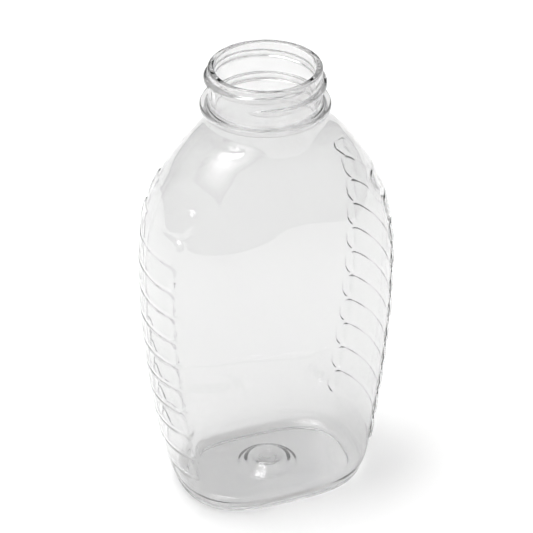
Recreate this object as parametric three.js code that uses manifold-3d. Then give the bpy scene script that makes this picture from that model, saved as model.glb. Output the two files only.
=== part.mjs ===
// Empty clear PET honey bottle, flattened oval body with grip pads on both sides
// and a round 38 mm threaded neck. Millimetres, +Z up. The origin is the centre of
// the standing ring. X is the wide way, Y the narrow way.
import * as THREE from 'three';
import { mergeVertices } from 'three/addons/utils/BufferGeometryUtils.js';
import Module from 'manifold-3d';

// ---- driving dimensions (mm) -------------------------------------------------
const HEIGHT = 149.3;            // standing ring to rim land
const RING_Z = 136.5;            // middle of the bead under the thread
const RING_R = 20.0;             // bead outer radius
const RING_T = 2.0;              // bead thickness
const NECK_R = 17.4;             // neck outside the thread root (34.8 across)
const BORE_R = 15.25;            // neck bore
const THROAT_R = 17.7;           // body radius just under the bead
const THREAD_R = 18.6;           // thread crest radius (37.2 across)
const THREAD_PITCH = 4.23;       // 6 threads per inch
const THREAD_TURNS = 1.186;
const THREAD_START = -132;       // degrees about +Z, at the lower end
const THREAD_DROP = 6.85;        // lower end below the rim
const THREAD_ROOT_W = 2.6;       // thread width at the neck
const THREAD_CREST_W = 0.9;      // thread width at the crest
const WALL = 0.42;               // blown body wall
const BASE_WALL = 1.0;           // thicker at the base

const FOOT_IN_X = 26.6, FOOT_IN_Y = 17.0;    // inner edge of the standing ring
const FOOT_OUT_X = 27.9, FOOT_OUT_Y = 18.9;  // outer edge of the standing ring
const PUSH_UP = 1.6;                         // base panel above the standing ring
const DIMPLE_R = 9.0, DIMPLE_UP = 1.2;       // round centre step
const NUB_R = 3.2, NUB_UP = 0.5;             // gate mark in its middle

// Body half width, and depth as a share of it, by height. The first row is the
// top of the heel, and the last the underside of the bead.
const BODY = [
  // z, half width, depth share, panel exponent, side exponent
  [4.1, 30.9, 0.76, 3.3, 2.15],
  [7.5, 32.35, 0.745, 3.6, 2.15],
  [13.6, 33.55, 0.735, 3.5, 2.15],
  [30.0, 36.45, 0.70, 3.3, 2.08],
  [49.0, 38.8, 0.69, 3.2, 2.08],
  [68.0, 39.8, 0.70, 3.2, 2.15],
  [84.0, 39.7, 0.717, 3.2, 2.2],
  [97.5, 38.6, 0.725, 3.0, 2.2],
  [108.4, 35.1, 0.732, 2.84, 2.18],
  [117.9, 30.25, 0.745, 2.5, 2.1],
  [126.1, 23.9, 0.78, 2.24, 2.02],
  [129.6, 20.3, 0.88, 2.1, 2.0],
  [132.2, 18.2, 0.975, 2.0, 2.0],
  [135.4, THROAT_R, 1.0, 2.0, 2.0],
];

const PADS = 11;                 // grip pads on each side
const PAD_TOP = 113.0;           // upper edge of the top pad
const PAD_PITCH = 9.1;
const PAD_RISE = 0.5;            // pillow height over the grooves
const PAD_END_Y = 17.2;          // pads reach this far from the side's middle line
const PAD_FADE = 3.0;            // length of a pad's rounded end

const COLS = 44;                 // facets around

// ---- helpers -----------------------------------------------------------------
const lerp = (a, b, t) => a + (b - a) * t;
const clamp01 = (t) => Math.min(1, Math.max(0, t));
const smooth = (t) => { t = clamp01(t); return t * t * (3 - 2 * t); };

// monotone cubic through the rows of a table, column k against column 0
function tableAt(table, k, z) {
  const n = table.length;
  if (z <= table[0][0]) return table[0][k];
  if (z >= table[n - 1][0]) return table[n - 1][k];
  const d = [], m = [];
  for (let i = 0; i < n - 1; i++) d.push((table[i + 1][k] - table[i][k]) / (table[i + 1][0] - table[i][0]));
  m.push(d[0]);
  for (let i = 1; i < n - 1; i++) m.push(d[i - 1] * d[i] <= 0 ? 0 : 2 * d[i - 1] * d[i] / (d[i - 1] + d[i]));
  m.push(d[n - 2]);
  let i = 0;
  while (z > table[i + 1][0]) i++;
  const h = table[i + 1][0] - table[i][0], t = (z - table[i][0]) / h, t2 = t * t, t3 = t2 * t;
  return (2 * t3 - 3 * t2 + 1) * table[i][k] + (t3 - 2 * t2 + t) * h * m[i]
    + (-2 * t3 + 3 * t2) * table[i + 1][k] + (t3 - t2) * h * m[i + 1];
}

const section = (z) => {
  const a = tableAt(BODY, 1, z);
  return { a, b: a * tableAt(BODY, 2, z), p: tableAt(BODY, 3, z), q: tableAt(BODY, 4, z) };
};

// point of |x/a|^p + |y/b|^q = 1 at section angle t, pushed out by off
function onSection({ a, b, p, q }, t, off = 0) {
  const c = Math.cos(t), s = Math.sin(t);
  const x = Math.sign(c) * a * Math.pow(Math.abs(c), 2 / p);
  const y = Math.sign(s) * b * Math.pow(Math.abs(s), 2 / q);
  if (!off) return [x, y];
  let nx = Math.sign(x) * p * Math.pow(Math.abs(x) / a, p - 1) / a;
  let ny = Math.sign(y) * q * Math.pow(Math.abs(y) / b, q - 1) / b;
  const l = Math.hypot(nx, ny) || 1;
  return [x + off * nx / l, y + off * ny / l];
}

// A skin through rings of COLS points, closed by a centre point at both ends.
// Each row is {z, at(t) -> [x, y]}.
function skin(rows, zFirst, zLast) {
  const pos = [], idx = [];
  pos.push(0, 0, zFirst);
  for (const r of rows) {
    for (let j = 0; j < COLS; j++) {
      const [x, y] = r.at(2 * Math.PI * j / COLS);
      pos.push(x, y, r.z);
    }
  }
  pos.push(0, 0, zLast);
  const last = 1 + rows.length * COLS;
  for (let j = 0; j < COLS; j++) {
    const k = (j + 1) % COLS;
    idx.push(0, 1 + k, 1 + j);
    for (let i = 0; i < rows.length - 1; i++) {
      const a = 1 + i * COLS + j, b = 1 + i * COLS + k, c = a + COLS, d = b + COLS;
      idx.push(a, b, d, a, d, c);
    }
    const e = last - COLS;
    idx.push(last, e + j, e + k);
  }
  const g = new THREE.BufferGeometry();
  g.setAttribute('position', new THREE.Float32BufferAttribute(pos, 3));
  g.setIndex(idx);
  return g;
}

const disc = (z, r) => ({ z, at: (t) => [r * Math.cos(t), r * Math.sin(t)] });
const oval = (z, s, off = 0) => ({ z, at: (t) => onSection(s, t, off) });
const mixed = (z, s, r, f) => ({
  z,
  at: (t) => {
    const [x, y] = onSection(s, t);
    return [lerp(r * Math.cos(t), x, f), lerp(r * Math.sin(t), y, f)];
  },
});

// ---- outside -----------------------------------------------------------------
const FOOT_IN = { a: FOOT_IN_X, b: FOOT_IN_Y, p: 3.1, q: 2.7 };
const FOOT_OUT = { a: FOOT_OUT_X, b: FOOT_OUT_Y, p: 3.0, q: 2.4 };

// share of a pad's full height at a point y off the side's middle line
const padAlong = (y) => smooth((PAD_END_Y + PAD_FADE / 2 - Math.abs(y)) / PAD_FADE);

function bodyRow(z, rise) {
  const s = section(z);
  return { z, at: (t) => onSection(s, t, rise * padAlong(onSection(s, t)[1])) };
}

function outside() {
  const rows = [];
  // base: gate mark, round step, base panel, standing ring
  rows.push(disc(PUSH_UP + DIMPLE_UP - NUB_UP, NUB_R * 0.55));
  rows.push(disc(PUSH_UP + DIMPLE_UP, NUB_R));
  rows.push(disc(PUSH_UP + DIMPLE_UP, DIMPLE_R - 0.8));
  rows.push(disc(PUSH_UP, DIMPLE_R));
  rows.push(mixed(PUSH_UP, { ...FOOT_IN, a: FOOT_IN_X - 1.4, b: FOOT_IN_Y - 1.4 }, DIMPLE_R, 1));
  rows.push(oval(0, FOOT_IN));
  rows.push(oval(0, FOOT_OUT));
  // heel
  const top = section(BODY[0][0]);
  for (const [f, g] of [[0.42, 0.11], [0.8, 0.42]]) {
    rows.push(oval(BODY[0][0] * g, {
      a: lerp(FOOT_OUT.a, top.a, f), b: lerp(FOOT_OUT.b, top.b, f),
      p: lerp(FOOT_OUT.p, top.p, f), q: lerp(FOOT_OUT.q, top.q, f),
    }));
  }
  rows.push(bodyRow(BODY[0][0], 0));
  // grip pads, from the lowest up: groove, two rows on the pad, and the next groove
  const low = PAD_TOP - PADS * PAD_PITCH;
  rows.push(bodyRow((BODY[0][0] + low) / 2, 0));
  for (let i = 0; i < PADS; i++) {
    const z = low + i * PAD_PITCH;
    rows.push(bodyRow(z, 0));
    rows.push(bodyRow(z + 0.2 * PAD_PITCH, PAD_RISE));
    rows.push(bodyRow(z + 0.8 * PAD_PITCH, PAD_RISE));
  }
  rows.push(bodyRow(PAD_TOP, 0));
  // shoulder
  for (const z of [116.5, 120.5, 124, 127, 129.8, 132.2]) rows.push(bodyRow(z, 0));
  // bead
  rows.push(disc(RING_Z - RING_T / 2, THROAT_R));
  rows.push(disc(RING_Z - RING_T / 2, RING_R - 0.45));
  rows.push(disc(RING_Z - RING_T / 2 + 0.5, RING_R));
  rows.push(disc(RING_Z + RING_T / 2 - 0.5, RING_R));
  rows.push(disc(RING_Z + RING_T / 2, RING_R - 0.45));
  rows.push(disc(RING_Z + RING_T / 2 + 0.25, NECK_R));
  // neck and rim
  rows.push(disc(HEIGHT - 0.6, NECK_R));
  rows.push(disc(HEIGHT - 0.15, NECK_R - 0.2));
  rows.push(disc(HEIGHT, NECK_R - 0.6));
  return skin(rows, PUSH_UP + DIMPLE_UP - NUB_UP, HEIGHT);
}

// ---- inside ------------------------------------------------------------------
function inside() {
  const rows = [];
  const floor = PUSH_UP + BASE_WALL;
  rows.push(disc(floor + DIMPLE_UP, DIMPLE_R - 0.6));
  rows.push(disc(floor, DIMPLE_R + 0.3));
  rows.push(mixed(floor, { ...FOOT_IN, a: FOOT_IN_X - 1.0, b: FOOT_IN_Y - 1.0 }, DIMPLE_R, 1));
  const wallAt = (z) => lerp(BASE_WALL, WALL, smooth((z - 2) / 14));
  const inner = (z) => {
    const s = section(z), w = wallAt(z);
    return oval(z, { a: s.a - w, b: s.b - w, p: s.p, q: s.q });
  };
  for (const z of [5.0, 8.5, 14, 22, 31, 40, 50, 60, 70, 79, 87, 94, 100, 106, 111, 116, 120.5, 124.5]) rows.push(inner(z));
  // the wall thickens from the shoulder into the moulded neck
  const thr = (z, w) => {
    const s = section(z);
    rows.push(oval(z, { a: s.a - w, b: s.b - w, p: s.p, q: s.q }));
  };
  thr(128, 0.9);
  thr(131.5, 1.7);
  rows.push(disc(RING_Z - 2.0, BORE_R));
  rows.push(disc(HEIGHT - 0.5, BORE_R));
  rows.push(disc(HEIGHT, BORE_R + 0.25));
  rows.push(disc(HEIGHT + 4, BORE_R + 0.25));
  return skin(rows, floor + DIMPLE_UP, HEIGHT + 4);
}

// ---- thread: one rounded ridge swept along a right-hand helix ------------------
function thread() {
  const per = 48, n = Math.round(THREAD_TURNS * per);
  const deep = NECK_R - 0.7;
  const pos = [], idx = [];
  for (let i = 0; i <= n; i++) {
    const t = i / n;
    const ang = (THREAD_START + 360 * THREAD_TURNS * t) * Math.PI / 180;
    const z = HEIGHT - THREAD_DROP + THREAD_PITCH * THREAD_TURNS * t;
    const fade = smooth(Math.min(t, 1 - t) / 0.045);
    const crest = lerp(NECK_R + 0.12, THREAD_R, fade);
    const rw = lerp(0.6, THREAD_ROOT_W, fade) / 2, cw = lerp(0.2, THREAD_CREST_W, fade) / 2;
    for (const [r, dz] of [[deep, -rw], [NECK_R, -rw], [crest, -cw], [crest, cw], [NECK_R, rw], [deep, rw]]) {
      pos.push(r * Math.cos(ang), r * Math.sin(ang), z + dz);
    }
  }
  const m = 6;
  for (let i = 0; i < n; i++) {
    for (let j = 0; j < m; j++) {
      const k = (j + 1) % m, a = i * m + j, b = i * m + k, c = a + m, d = b + m;
      idx.push(a, c, d, a, d, b);
    }
  }
  for (let j = 1; j < m - 1; j++) {
    idx.push(0, j, j + 1);
    idx.push(n * m, n * m + j + 1, n * m + j);
  }
  const g = new THREE.BufferGeometry();
  g.setAttribute('position', new THREE.Float32BufferAttribute(pos, 3));
  g.setIndex(idx);
  return g;
}

// ---- join and cut --------------------------------------------------------------
const wasm = await Module();
wasm.setup();

function signedVolume(g) {
  const p = g.attributes.position, ix = g.index.array;
  let v = 0;
  for (let i = 0; i < ix.length; i += 3) {
    const [a, b, c] = [ix[i], ix[i + 1], ix[i + 2]];
    v += p.getX(a) * (p.getY(b) * p.getZ(c) - p.getZ(b) * p.getY(c))
      - p.getY(a) * (p.getX(b) * p.getZ(c) - p.getZ(b) * p.getX(c))
      + p.getZ(a) * (p.getX(b) * p.getY(c) - p.getY(b) * p.getX(c));
  }
  return v / 6;
}

function toSolid(g) {
  const m = mergeVertices(g, 1e-5);
  if (signedVolume(m) < 0) {
    const ix = m.index.array;
    for (let i = 0; i < ix.length; i += 3) [ix[i + 1], ix[i + 2]] = [ix[i + 2], ix[i + 1]];
  }
  return new wasm.Manifold(new wasm.Mesh({
    numProp: 3,
    vertProperties: new Float32Array(m.attributes.position.array),
    triVerts: new Uint32Array(m.index.array),
  }));
}

const solid = toSolid(outside()).add(toSolid(thread())).subtract(toSolid(inside()));
const mesh = solid.getMesh();
const geometry = new THREE.BufferGeometry();
geometry.setAttribute('position', new THREE.BufferAttribute(new Float32Array(mesh.vertProperties), 3));
geometry.setIndex(new THREE.BufferAttribute(new Uint32Array(mesh.triVerts), 1));
geometry.computeVertexNormals();

const clearPet = new THREE.MeshStandardMaterial({
  color: 0xe9edef, roughness: 0.06, metalness: 0.0, transparent: true, opacity: 0.35,
});

const group = new THREE.Group();
const bottle = new THREE.Mesh(geometry, clearPet);
bottle.name = 'bottle';
group.add(bottle);

export default group;
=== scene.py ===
"""Looks for an empty clear plastic honey bottle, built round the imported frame."""
import math

import bpy
import numpy as np
from mathutils import Matrix, Vector


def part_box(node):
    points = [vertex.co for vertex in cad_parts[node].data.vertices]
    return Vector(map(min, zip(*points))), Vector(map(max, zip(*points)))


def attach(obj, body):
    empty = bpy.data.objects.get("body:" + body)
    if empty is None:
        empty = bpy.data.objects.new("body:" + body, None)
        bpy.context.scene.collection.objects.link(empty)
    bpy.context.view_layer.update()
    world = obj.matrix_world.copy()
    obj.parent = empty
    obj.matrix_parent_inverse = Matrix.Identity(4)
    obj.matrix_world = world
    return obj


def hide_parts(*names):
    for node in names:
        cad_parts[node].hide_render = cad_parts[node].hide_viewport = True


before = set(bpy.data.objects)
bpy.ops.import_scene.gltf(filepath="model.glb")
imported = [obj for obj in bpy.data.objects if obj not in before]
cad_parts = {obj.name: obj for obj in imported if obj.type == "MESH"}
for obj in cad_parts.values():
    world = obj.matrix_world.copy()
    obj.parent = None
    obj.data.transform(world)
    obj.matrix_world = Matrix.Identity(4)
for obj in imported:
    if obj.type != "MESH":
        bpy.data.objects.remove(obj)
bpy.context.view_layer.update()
NODE_LO, NODE_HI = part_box("bottle")
MM = 0.001

# ---- stage settings ------------------------------------------------------------
FLOOR_GLOW, FLOOR_ALBEDO = 0.10, 0.64
DOME_R, DOME_DIM = 1.8, 0.02

# ---- sizes in millimetres, the same as the solid's ---------------------------
HEIGHT = 149.3
RING_Z, RING_R, RING_T = 136.5, 20.0, 2.0
NECK_R, BORE_R, THROAT_R = 17.4, 15.25, 17.7
THREAD_R, THREAD_PITCH, THREAD_TURNS = 18.6, 4.23, 1.186
THREAD_START, THREAD_DROP = -132.0, 6.85
WALL, HEEL_WALL, BASE_WALL = 0.42, 0.5, 0.8
FOOT_IN = (26.6, 17.0, 3.1, 2.7)
FOOT_OUT = (27.9, 18.9, 3.0, 2.4)
PUSH_UP, DIMPLE_UP = 1.6, 3.1
BODY = np.array([
    # z, half width, depth share, panel exponent, side exponent
    [4.1, 30.9, 0.76, 3.3, 2.15],
    [7.5, 32.35, 0.745, 3.6, 2.15],
    [13.6, 33.55, 0.735, 3.5, 2.15],
    [30.0, 36.45, 0.70, 3.3, 2.08],
    [49.0, 38.8, 0.69, 3.2, 2.08],
    [68.0, 39.8, 0.70, 3.2, 2.15],
    [84.0, 39.7, 0.717, 3.2, 2.2],
    [97.5, 38.6, 0.725, 3.0, 2.2],
    [108.4, 35.1, 0.732, 2.84, 2.18],
    [117.9, 30.25, 0.745, 2.5, 2.1],
    [126.1, 23.9, 0.78, 2.24, 2.02],
    [129.6, 20.3, 0.88, 2.1, 2.0],
    [132.2, 18.2, 0.975, 2.0, 2.0],
    [135.4, THROAT_R, 1.0, 2.0, 2.0],
])
PADS, PAD_TOP, PAD_PITCH, PAD_RISE, PAD_END_Y = 11, 113.0, 9.1, 0.5, 16.6
PAD_LOW = PAD_TOP - PADS * PAD_PITCH
PAD_EDGE, PAD_TIP = 1.35, 1.1     # width of a pad's rounded edge along the grooves, and at its two ends
GROOVE, GROOVE_W = 0.22, 0.6      # depth and half width of the fine groove round each pad
TIP_PROUD = 1.7        # the pads stand out more at their ends than round the side
SWELL = 0.3            # the whole band of pads stands proud of the plain wall, most at the side
SOFT = 0.6             # the blown inside follows the pads this loosely


def smooth(t):
    t = np.clip(t, 0.0, 1.0)
    return t * t * (3 - 2 * t)


def smoother(t):
    t = np.clip(t, 0.0, 1.0)
    return t * t * t * (10 + t * (6 * t - 15))


def lerp(a, b, t):
    return a + (b - a) * t


def rounded(u):
    """A rounded edge: a small fillet at its foot, then a wide crown."""
    u = np.clip(u, 0.0, 1.0)
    return np.where(u < 0.25, 4.0 * u * u, 1 - (1 - u) ** 2 / 0.75)


def table_at(k, z):
    """Monotone cubic through column k of BODY."""
    zs, v = BODY[:, 0], BODY[:, k]
    d = np.diff(v) / np.diff(zs)
    m = np.empty(len(v))
    m[0], m[-1] = d[0], d[-1]
    for i in range(1, len(v) - 1):
        m[i] = 0.0 if d[i - 1] * d[i] <= 0 else 2 * d[i - 1] * d[i] / (d[i - 1] + d[i])
    z = np.clip(np.asarray(z, float), zs[0], zs[-1])
    i = np.clip(np.searchsorted(zs, z, side="right") - 1, 0, len(zs) - 2)
    h = zs[i + 1] - zs[i]
    t = (z - zs[i]) / h
    t2, t3 = t * t, t * t * t
    return ((2 * t3 - 3 * t2 + 1) * v[i] + (t3 - 2 * t2 + t) * h * m[i]
            + (-2 * t3 + 3 * t2) * v[i + 1] + (t3 - t2) * h * m[i + 1])


def section(z):
    a = table_at(1, z)
    return a, a * table_at(2, z), table_at(3, z), table_at(4, z)


def oval(a, b, p, q, t):
    """Point of |x/a|^p + |y/b|^q = 1 at section angle t."""
    c, s = np.cos(t), np.sin(t)
    c, s = np.where(np.abs(c) < 1e-12, 0, c), np.where(np.abs(s) < 1e-12, 0, s)
    return (np.sign(c) * a * np.abs(c) ** (2 / p), np.sign(s) * b * np.abs(s) ** (2 / q))


# ---- columns: finer where the pads end and at the mould's parting line --------
def column_angles():
    t = np.linspace(0, math.pi / 2, 20001)
    a, b, p, q = section(62.0)
    x, y = oval(a, b, p, q, t)
    s = np.concatenate([[0], np.cumsum(np.hypot(np.diff(x), np.diff(y)))])
    want = np.interp(
        s,
        [0, 0.6, 1.2, 12, 14, 15, 21.6, 23, 27, 34, s[-1]],
        [0.28, 0.4, 1.15, 1.15, 0.75, 0.44, 0.44, 0.9, 1.2, 1.9, 2.1])
    n = np.concatenate([[0], np.cumsum(np.diff(s) / want[1:])])
    count = int(round(n[-1]))
    q1 = np.interp(np.linspace(0, n[-1], count + 1), n, t)
    q1[0], q1[-1] = 0.0, math.pi / 2
    half = np.concatenate([q1, math.pi - q1[-2::-1]])
    return np.concatenate([half[:-1], math.pi + half[:-1]])


T = column_angles()
M = len(T)
CT, ST = np.cos(T), np.sin(T)


# ---- relief -------------------------------------------------------------------
def side_arc(z):
    """Length along the section from the middle of the nearer side to each column, and where the pads end."""
    tt = np.linspace(0, math.pi / 2, 1201)
    a, b, p, q = section(z)
    x, y = oval(a, b, p, q, tt)
    s = np.concatenate([[0], np.cumsum(np.hypot(np.diff(x), np.diff(y)))])
    fold = np.abs(np.mod(T + math.pi / 2, math.pi) - math.pi / 2)
    return np.interp(fold, tt, s), np.interp(PAD_END_Y, y, s)


def relief(z):
    """Height of the grip pads and of the grooves round them over the plain wall, for a row at z."""
    s, _ = side_arc(z)
    top, cut = np.zeros(M), np.zeros(M)
    for i in range(PADS):
        zc = PAD_LOW + (i + 0.5) * PAD_PITCH
        if abs(z - zc) > PAD_PITCH:
            continue
        half = PAD_PITCH / 2
        _, end = side_arc(zc)
        r = half * 0.88
        qx, qz = np.abs(s) - (end - r), abs(z - zc) - (half - r)
        d = r - (np.hypot(np.maximum(qx, 0), max(qz, 0.0)) + np.minimum(np.maximum(qx, qz), 0))
        tip = smooth(qx / (0.8 * r))
        edge = lerp(PAD_EDGE, PAD_TIP, tip)
        strong = i >= PADS - 2
        if strong:
            amp = lerp(0.05, 1.2, smooth((s - 11.5) / (end - 14.0)))
            amp = lerp(amp, TIP_PROUD * 0.82, tip)
        else:
            amp = lerp(0.16, 0.54, smooth((s - 5) / 7)) * lerp(1.0, 0.8, smooth((s - end + 7) / 4))
            amp = lerp(amp, TIP_PROUD, tip)
        h = (0.5 * smooth(d / edge) + 0.4 * rounded(d / edge) + 0.1 * smooth(d / half)) * amp
        top = np.maximum(top, np.where(d > 0, h, 0))
        cut = np.maximum(cut, amp * np.exp(-((d + 0.15) / GROOVE_W) ** 2))
    s, end = side_arc(min(max(z, PAD_LOW), PAD_TOP))
    band = float(smooth((z - PAD_LOW + 4) / 8) * smooth((PAD_TOP + 4 - z) / 8))
    return PAD_RISE * top - GROOVE * cut + SWELL * band * (1 - smooth((s - 4) / (end - 5)))


def thread_height(z):
    """The ridge's height over the neck for a row at z."""
    turn = THREAD_TURNS * 2 * math.pi
    start = math.radians(THREAD_START)
    base = HEIGHT - THREAD_DROP
    out = np.zeros(M)
    for k in range(-1, 3):
        run = np.mod(T - start, 2 * math.pi) + 2 * math.pi * k
        u = run / turn
        live = (u > -0.001) & (u < 1.001)
        zc = base + THREAD_PITCH * run / (2 * math.pi)
        fade = smooth(np.minimum(u, 1 - u) / 0.05)
        w0 = lerp(0.7, 2.7, fade) / 2
        w1 = lerp(0.1, 1.0, fade) / 2
        d = np.abs(z - zc)
        h = (THREAD_R - NECK_R) * lerp(0.12, 1, fade) * smooth((w0 - d) / (w0 - w1))
        out = np.maximum(out, np.where(live, h, 0))
    return out


def parting(width, height):
    """A fine ridge down both sides, where the mould's halves met."""
    fold = np.abs(np.mod(T + math.pi / 2, math.pi) - math.pi / 2)
    return lambda r: height * np.exp(-((fold * r) / width) ** 2)


# ---- surfaces as rows of points -------------------------------------------------
def body_grid(zs):
    """Points and outward normals of the plain body for rows at zs."""
    def at(z, t):
        a, b, p, q = section(z)
        x, y = oval(a[:, None], b[:, None], p[:, None], q[:, None], t[None, :])
        return np.stack([x, y, np.repeat(z[:, None], len(t), 1)], 2)
    zs = np.asarray(zs, float)
    pt = at(zs, T)
    h = 0.02
    dz = at(np.minimum(zs + h, BODY[-1, 0]), T) - at(np.maximum(zs - h, BODY[0, 0]), T)
    e = 2e-3
    dt = at(zs, T + e) - at(zs, T - e)
    n = np.cross(dt, dz)
    n /= np.linalg.norm(n, axis=2, keepdims=True)
    return pt, n


def body_rows_z():
    zs = [4.1, 4.7, 5.5, 6.6, 7.8, 9.0, 10.2, 11.4, 12.2]
    offs = [0.0, 0.3, 0.6, 0.95, 1.4, 2.2]
    for i in range(PADS):
        z = PAD_LOW + i * PAD_PITCH
        zs += [z + o for o in offs] + [z + PAD_PITCH / 2] + [z + PAD_PITCH - o for o in offs[:0:-1]]
    zs += [PAD_TOP + o for o in (0, 0.4, 0.9, 1.5)]
    zs += list(np.linspace(PAD_TOP + 2.4, 124.0, 9)) + list(np.linspace(124.9, 132.0, 10))
    zs += [132.7, 133.5, 134.4, 135.0]
    return np.array(sorted(set(round(z, 4) for z in zs)))


def grid_normals(pt):
    """Outward normals of a grid of points, rows by columns."""
    dt = np.roll(pt, -1, 1) - np.roll(pt, 1, 1)
    dz = np.gradient(pt, axis=0)
    n = np.cross(dt, dz)
    return n / np.linalg.norm(n, axis=2, keepdims=True)


BODY_Z = body_rows_z()


def blurred(z, pt):
    """The relief at z as the inside of the wall follows it, softened up and down and along the section."""
    k = np.linspace(-2, 2, 9)
    w = np.exp(-k * k / 2)
    h = sum(wk * relief(z + SOFT * kk) for wk, kk in zip(w, k)) / w.sum()
    step = np.hypot(*(np.roll(pt, -1, 0) - pt)[:, :2].T)
    s = np.concatenate([[0], np.cumsum(step)[:-1]])
    d = np.abs(s[:, None] - s[None, :])
    d = np.minimum(d, step.sum() - d)
    ww = np.exp(-(d / SOFT) ** 2 / 2) * (step + np.roll(step, 1))[None, :]
    return ww @ h / ww.sum(1)


def body_skin():
    """The body's outside and inside with its pads, and the outside's normals."""
    pts, nrm = body_grid(BODY_Z)
    h = np.stack([relief(z) for z in BODY_Z])
    soft = np.stack([blurred(z, pt) for z, pt in zip(BODY_Z, pts)])
    soft = np.minimum(soft, h + 0.18)
    out = pts + nrm * h[:, :, None]
    wall = lerp(HEEL_WALL, WALL, smooth((BODY_Z - 2) / 14))
    wall = lerp(wall, 2.35, smoother((BODY_Z - 124.0) / 10.6))
    return out, pts + nrm * (soft - wall[:, None])[:, :, None], grid_normals(out)


BODY_OUT, BODY_IN, BODY_N = body_skin()


def circle(r, z):
    return np.stack([r * CT, r * ST, np.full(M, z)], 1)


def oval_row(a, b, p, q, z):
    x, y = oval(a, b, p, q, T)
    return np.stack([x, y, np.full(M, z)], 1)


def blend_rows(r0, r1, f):
    return lerp(r0, r1, f)


def base_rows(lift=0.0, inside=False):
    """The base from its middle outwards. Its inside is softer than its outside."""
    rows = []
    zc = PUSH_UP + DIMPLE_UP + lift
    outline = ((0.25, -0.78), (0.9, -0.76), (1.6, -0.68), (2.1, -0.52), (2.55, -0.28), (2.9, -0.1), (3.3, -0.02),
               (3.9, 0.0), (5.0, 0.0), (5.6, -0.04), (6.0, -0.15), (6.35, -0.4), (6.7, -0.8), (7.05, -1.25),
               (7.4, -1.6), (7.9, -1.9), (8.5, -2.2), (9.0, -2.5), (9.5, -2.85), (9.9, -3.03), (10.4, -3.1))
    for r, z in outline:
        if inside:
            z = -DIMPLE_UP * float(smooth((r - 3.2) / 7.6)) - 0.25 * float(smooth(1 - r / 3.4))
        rows.append(circle(r, zc + z))
    inner = oval_row(FOOT_IN[0] - 1.8, FOOT_IN[1] - 1.8, FOOT_IN[2], FOOT_IN[3], 0)
    for f in np.linspace(0, 1, 17)[1:]:
        ring = lerp(circle(10.4, 0), inner, f)
        ring[:, 2] = PUSH_UP + lift - 0.10 * f * f
        rows.append(ring)
    return rows


def outer_rows():
    rows = base_rows()
    # down on to the standing ring, across it and up round the heel
    fi = oval_row(*FOOT_IN, 0)
    fo = oval_row(*FOOT_OUT, 0)
    last = rows[-1]
    for f, z in ((0.3, 1.42), (0.55, 1.15), (0.75, 0.75), (0.9, 0.36), (1.0, 0.1)):
        r = lerp(last, fi, f)
        r[:, 2] = z
        rows.append(r)
    for f in (0.22, 0.5, 0.78):
        r = lerp(fi, fo, f)
        r[:, 2] = 0.0
        rows.append(r)
    a, b, p, q = (float(v) for v in section(4.1))
    top = np.array([a, b, p, q])
    foot = np.array(FOOT_OUT)
    for u in np.linspace(0.0, 1.0, 11)[:-1]:
        ang = u * math.pi / 2
        f, g = math.sin(ang), 1 - math.cos(ang)
        rows.append(oval_row(*lerp(foot, top, f * 0.94 + 0.06 * u), 4.1 * g + 0.03 * (u == 0)))
    # body with its pads and the mould's parting line
    seam = parting(0.3, 0.03)
    for k, z in enumerate(BODY_Z):
        a = float(section(z)[0])
        rows.append(BODY_OUT[k] + BODY_N[k] * (seam(a) * (z < 133))[:, None])
    # bead, neck and rim
    nick = parting(0.35, 1.0)
    z0, z1 = RING_Z - RING_T / 2, RING_Z + RING_T / 2
    for r, z in ((THROAT_R + 0.12, z0 - 0.18), (THROAT_R + 0.5, z0 - 0.03), (18.9, z0), (19.35, z0 + 0.02)):
        rows.append(circle(r, z))
    for u in np.linspace(0, 1, 9):
        ang = math.pi * (u - 0.5)
        rows.append(circle(RING_R - 0.55 + 0.55 * math.cos(ang), RING_Z + (RING_T / 2 - 0.04) * math.sin(ang)))
    for r, z in ((18.7, z1 + 0.02), (18.1, z1 + 0.06), (17.75, z1 + 0.2), (17.5, z1 + 0.45)):
        rows.append(circle(r, z))
    for z in np.concatenate([np.linspace(z1 + 0.8, z1 + 2.0, 4), np.arange(z1 + 2.28, HEIGHT - 0.75, 0.28)]):
        h = thread_height(z)
        r = NECK_R + h + 0.06 * nick(NECK_R)
        rows.append(np.stack([r * CT, r * ST, np.full(M, z)], 1))
    for u in np.linspace(0, 1, 7):
        ang = u * math.pi / 2
        rows.append(circle(NECK_R - 0.7 + 0.7 * math.cos(ang), HEIGHT - 0.7 + 0.7 * math.sin(ang)))
    return rows


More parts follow.
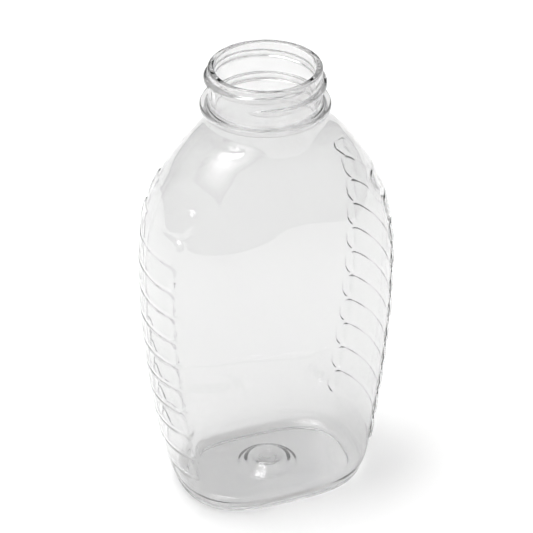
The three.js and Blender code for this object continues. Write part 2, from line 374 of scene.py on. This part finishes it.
def inner_rows():
    """The inside, from the rim down to the middle of the floor."""
    rows = []
    for u in np.linspace(0, 1, 5):
        ang = (1 - u) * math.pi / 2
        rows.append(circle(BORE_R + 0.5 - 0.5 * math.cos(ang), HEIGHT - 0.5 + 0.5 * math.sin(ang)))
    for z in (147.8, 146.5, 145.0, 143.0, 141.0, 139.0, 137.4, 136.2, 135.2):
        rows.append(circle(BORE_R, z))
    # the body's inside follows the pads, softly
    for k in range(len(BODY_Z) - 1, -1, -1):
        z = BODY_Z[k]
        if z > 134.6 or z < 5.0:
            continue
        if PAD_LOW < z < PAD_TOP and min(abs((z - PAD_LOW) % PAD_PITCH - o) for o in (0.3, 0.95, PAD_PITCH - 0.95, PAD_PITCH - 0.3)) < 0.01:
            continue
        rows.append(BODY_IN[k])
    # heel and floor, on the inside, along the standing ring's trough
    a, b, p, q = (float(v) for v in section(4.1))
    top = np.array([a - 0.48, b - 0.48, p, q])
    foot = np.array([27.5, 18.2, 3.03, 2.5])
    z_low = 0.5
    for u in np.linspace(0.0, 1.0, 9):
        ang = u * math.pi / 2
        f, g = math.cos(ang), 1 - math.sin(ang)
        rows.append(oval_row(*lerp(foot, top, f), z_low + (4.7 - z_low) * g))
    floor = base_rows(lift=BASE_WALL, inside=True)
    last = rows[-1]
    lift = floor[-1][0, 2]
    for f, g in ((0.08, 0.04), (0.2, 0.2), (0.38, 0.5), (0.58, 0.78), (0.8, 0.94)):
        r = lerp(last, floor[-1], f)
        r[:, 2] = lerp(z_low, lift, g)
        rows.append(r)
    rows += floor[::-1]
    return rows


def build_bottle():
    rows = outer_rows() + inner_rows()
    n = len(rows)
    co = np.concatenate([np.array([[0, 0, rows[0][0, 2]]]), np.concatenate(rows), np.array([[0, 0, rows[-1][0, 2]]])])
    # the visual model stays inside the solid's box
    for k, lim in ((0, NODE_HI[0] / MM), (1, NODE_HI[1] / MM)):
        far = np.abs(co[:, k]).max()
        if far > lim:
            co[:, k] *= (lim - 1e-4) / far
    co[:, 2] = np.clip(co[:, 2], 0, HEIGHT)
    quads, tris = [], []
    j = np.arange(M)
    k = (j + 1) % M
    for i in range(n - 1):
        a0, b0 = 1 + i * M, 1 + (i + 1) * M
        quads.append(np.stack([a0 + j, b0 + j, b0 + k, a0 + k], 1))
    quads = np.concatenate(quads)
    end = 1 + n * M
    tris = np.concatenate([np.stack([np.zeros(M, int), 1 + j, 1 + k], 1),
                           np.stack([np.full(M, end), end - M + k, end - M + j], 1)])
    me = bpy.data.meshes.new("bottle_clear")
    verts = co * MM
    me.vertices.add(len(verts))
    me.vertices.foreach_set("co", verts.astype(np.float32).ravel())
    loops = np.concatenate([quads.ravel(), tris.ravel()])
    me.loops.add(len(loops))
    me.loops.foreach_set("vertex_index", loops.astype(np.int32))
    sizes = np.concatenate([np.full(len(quads), 4), np.full(len(tris), 3)])
    starts = np.concatenate([[0], np.cumsum(sizes)[:-1]])
    me.polygons.add(len(sizes))
    me.polygons.foreach_set("loop_start", starts.astype(np.int32))
    me.update(calc_edges=True)
    me.validate()
    me.polygons.foreach_set("use_smooth", np.ones(len(me.polygons), bool))
    # faces point outwards
    v = np.array(verts)
    q = quads
    c = (v[q[:, 0]] + v[q[:, 1]] + v[q[:, 2]] + v[q[:, 3]]) / 4
    nv = np.cross(v[q[:, 2]] - v[q[:, 0]], v[q[:, 3]] - v[q[:, 1]]) / 2
    if (c * nv).sum() < 0:
        me.flip_normals()
    me.update()
    print("columns", M, "rows", n, "triangles", 2 * len(quads) + len(tris))
    ob = bpy.data.objects.new("bottle_clear", me)
    bpy.context.scene.collection.objects.link(ob)
    return ob


# ---- materials ------------------------------------------------------------------
def clear_pet():
    m = bpy.data.materials.new("clear_pet")
    m.use_nodes = True
    nt = m.node_tree
    bs = nt.nodes["Principled BSDF"]
    bs.inputs["Base Color"].default_value = (0.844, 0.844, 0.844, 1)
    bs.inputs["Transmission Weight"].default_value = 1.0
    bs.inputs["IOR"].default_value = 1.57
    bs.inputs["Roughness"].default_value = 0.0
    # thick plastic is greyer than thin
    ab = nt.nodes.new("ShaderNodeVolumeAbsorption")
    ab.inputs["Color"].default_value = (0.0, 0.0, 0.0, 1)
    ab.inputs["Density"].default_value = 20.0
    nt.links.new(ab.outputs["Volume"], nt.nodes["Material Output"].inputs["Volume"])
    tc = nt.nodes.new("ShaderNodeTexCoord")
    # slow flow marks of the blown wall, and a finer ripple
    n1 = nt.nodes.new("ShaderNodeTexNoise")
    n1.inputs["Scale"].default_value = 42
    n1.inputs["Detail"].default_value = 2
    n2 = nt.nodes.new("ShaderNodeTexNoise")
    n2.inputs["Scale"].default_value = 190
    n2.inputs["Detail"].default_value = 2
    mp = nt.nodes.new("ShaderNodeMapping")
    mp.inputs["Scale"].default_value = (1, 1, 0.45)
    nt.links.new(tc.outputs["Object"], mp.inputs["Vector"])
    nt.links.new(mp.outputs["Vector"], n1.inputs["Vector"])
    nt.links.new(mp.outputs["Vector"], n2.inputs["Vector"])
    b1 = nt.nodes.new("ShaderNodeBump")
    b1.inputs["Strength"].default_value = 0.12
    b1.inputs["Distance"].default_value = 0.0006
    b2 = nt.nodes.new("ShaderNodeBump")
    b2.inputs["Strength"].default_value = 0.05
    b2.inputs["Distance"].default_value = 0.00012
    nt.links.new(n1.outputs["Fac"], b1.inputs["Height"])
    nt.links.new(n2.outputs["Fac"], b2.inputs["Height"])
    nt.links.new(b1.outputs["Normal"], b2.inputs["Normal"])
    nt.links.new(b2.outputs["Normal"], bs.inputs["Normal"])
    return m


def pale_floor():
    """A pale sheet, faintly lit from below as on a light table."""
    m = bpy.data.materials.new("pale_floor")
    m.use_nodes = True
    bs = m.node_tree.nodes["Principled BSDF"]
    bs.inputs["Base Color"].default_value = (FLOOR_ALBEDO, FLOOR_ALBEDO, FLOOR_ALBEDO, 1)
    bs.inputs["Roughness"].default_value = 0.9
    bs.inputs["Specular IOR Level"].default_value = 0.0
    bs.inputs["Emission Color"].default_value = (1, 1, 1, 1)
    bs.inputs["Emission Strength"].default_value = FLOOR_GLOW
    return m


def dim_surround():
    """What the gloss mirrors: a dim room up to well above the bottle, and a bright ceiling."""
    m = bpy.data.materials.new("dim_surround")
    m.use_nodes = True
    nt = m.node_tree
    nt.nodes.clear()
    out = nt.nodes.new("ShaderNodeOutputMaterial")
    em = nt.nodes.new("ShaderNodeEmission")
    nt.links.new(em.outputs[0], out.inputs["Surface"])
    tc = nt.nodes.new("ShaderNodeTexCoord")
    sep = nt.nodes.new("ShaderNodeSeparateXYZ")
    nt.links.new(tc.outputs["Object"], sep.inputs[0])
    mr = nt.nodes.new("ShaderNodeMapRange")
    mr.interpolation_type = "SMOOTHSTEP"
    mr.inputs["From Min"].default_value = 0.62 * DOME_R
    mr.inputs["From Max"].default_value = 0.90 * DOME_R
    mr.inputs["To Min"].default_value = DOME_DIM
    mr.inputs["To Max"].default_value = 1.0
    nt.links.new(sep.outputs["Z"], mr.inputs["Value"])
    nt.links.new(mr.outputs["Result"], em.inputs["Strength"])
    return m


def dome():
    """A hemisphere round the stage that only mirrored rays see."""
    n, k = 64, 18
    v, f = [], []
    for i in range(k):
        e = i / k * math.pi / 2
        for j in range(n):
            a = 2 * math.pi * j / n
            v.append((DOME_R * math.cos(e) * math.cos(a), DOME_R * math.cos(e) * math.sin(a), DOME_R * math.sin(e)))
    v.append((0, 0, DOME_R))
    for i in range(k - 1):
        for j in range(n):
            q = (j + 1) % n
            f.append((i * n + j, i * n + q, (i + 1) * n + q, (i + 1) * n + j))
    for j in range(n):
        f.append(((k - 1) * n + j, (k - 1) * n + (j + 1) % n, k * n))
    me = bpy.data.meshes.new("surround")
    me.from_pydata(v, [], f)
    me.materials.append(dim_surround())
    ob = bpy.data.objects.new("surround", me)
    ob.visible_camera = ob.visible_diffuse = ob.visible_transmission = False
    ob.visible_shadow = ob.visible_volume_scatter = False
    bpy.context.scene.collection.objects.link(ob)


def panel_light(strength, soft):
    """Emission that fades to nothing at the panel's edges, like cloth over a softbox."""
    m = bpy.data.materials.new("softbox_cloth")
    m.use_nodes = True
    nt = m.node_tree
    nt.nodes.clear()
    out = nt.nodes.new("ShaderNodeOutputMaterial")
    em = nt.nodes.new("ShaderNodeEmission")
    nt.links.new(em.outputs[0], out.inputs["Surface"])
    tc = nt.nodes.new("ShaderNodeTexCoord")
    sep = nt.nodes.new("ShaderNodeSeparateXYZ")
    nt.links.new(tc.outputs["Generated"], sep.inputs[0])
    masks = []
    for ax in ("X", "Y"):
        d = nt.nodes.new("ShaderNodeMath")
        d.operation = "SUBTRACT"
        d.inputs[1].default_value = 0.5
        nt.links.new(sep.outputs[ax], d.inputs[0])
        ab = nt.nodes.new("ShaderNodeMath")
        ab.operation = "ABSOLUTE"
        nt.links.new(d.outputs[0], ab.inputs[0])
        mr = nt.nodes.new("ShaderNodeMapRange")
        mr.interpolation_type = "SMOOTHSTEP"
        mr.inputs["From Min"].default_value = 0.5
        mr.inputs["From Max"].default_value = 0.5 - soft
        nt.links.new(ab.outputs[0], mr.inputs["Value"])
        masks.append(mr)
    mul = nt.nodes.new("ShaderNodeMath")
    mul.operation = "MULTIPLY"
    nt.links.new(masks[0].outputs["Result"], mul.inputs[0])
    nt.links.new(masks[1].outputs["Result"], mul.inputs[1])
    sc_ = nt.nodes.new("ShaderNodeMath")
    sc_.operation = "MULTIPLY"
    sc_.inputs[1].default_value = strength
    nt.links.new(mul.outputs[0], sc_.inputs[0])
    nt.links.new(sc_.outputs[0], em.inputs["Strength"])
    return m


bottle = build_bottle()
bottle.data.materials.append(clear_pet())
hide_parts("bottle")
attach(bottle, "root")

# ---- stage ------------------------------------------------------------------------
me = bpy.data.meshes.new("floor")
me.from_pydata([(-4, -4, -1e-4), (4, -4, -1e-4), (4, 4, -1e-4), (-4, 4, -1e-4)], [], [(0, 1, 2, 3)])
floor = bpy.data.objects.new("floor", me)
floor.data.materials.append(pale_floor())
bpy.context.scene.collection.objects.link(floor)


def softbox(name, direction, distance, width, height, strength, soft=0.3):
    """A lit cloth panel facing the bottle from that direction."""
    at = Vector(direction).normalized() * distance + Vector((0, 0, 0.08))
    me = bpy.data.meshes.new(name)
    w, h = width / 2, height / 2
    me.from_pydata([(-w, -h, 0), (w, -h, 0), (w, h, 0), (-w, h, 0)], [], [(0, 1, 2, 3)])
    me.materials.append(panel_light(strength, soft))
    ob = bpy.data.objects.new(name, me)
    ob.rotation_mode = "QUATERNION"
    ob.rotation_quaternion = (-at).to_track_quat("Z", "Y")
    ob.location = at
    ob.visible_camera = False
    bpy.context.scene.collection.objects.link(ob)
    return ob


softbox("softbox_main", (-0.50, -0.12, 0.86), 1.25, 1.5, 1.5, 5.6, 0.5)
over = softbox("softbox_over", (-0.17, 0.15, 0.97), 1.25, 0.8, 0.8, 15.5, 0.3)
over.visible_glossy = False
dome()

world = bpy.data.worlds.new("studio")
bpy.context.scene.world = world
world.use_nodes = True
world.node_tree.nodes["Background"].inputs["Color"].default_value = (1, 1, 1, 1)
world.node_tree.nodes["Background"].inputs["Strength"].default_value = 0.9

sc = bpy.context.scene
sc.view_settings.view_transform = "Standard"
sc.view_settings.look = "None"
sc.view_settings.exposure = 0.0
sc.cycles.max_bounces = 24
sc.cycles.transmission_bounces = 24
sc.cycles.glossy_bounces = 8
sc.cycles.transparent_max_bounces = 16
sc.cycles.blur_glossy = 0.0

# ---- camera -------------------------------------------------------------------------
cam_data = bpy.data.cameras.new("camera")
cam_data.lens = 183.05
cam_data.sensor_width = 36
cam_data.clip_start = 0.01
cam_data.clip_end = 50
cam = bpy.data.objects.new("camera", cam_data)
bpy.context.scene.collection.objects.link(cam)
right = Vector((0.93016, -0.36712, -0.00410)).normalized()
up = Vector((0.20061, 0.49886, 0.84314)).normalized()
back = right.cross(up)
up = back.cross(right)
rot = Matrix((right, up, back)).transposed()
cam.matrix_world = Matrix.Translation((-0.26127, -0.66736, 0.53502)) @ rot.to_4x4()
bpy.context.scene.camera = cam

bpy.context.view_layer.update()
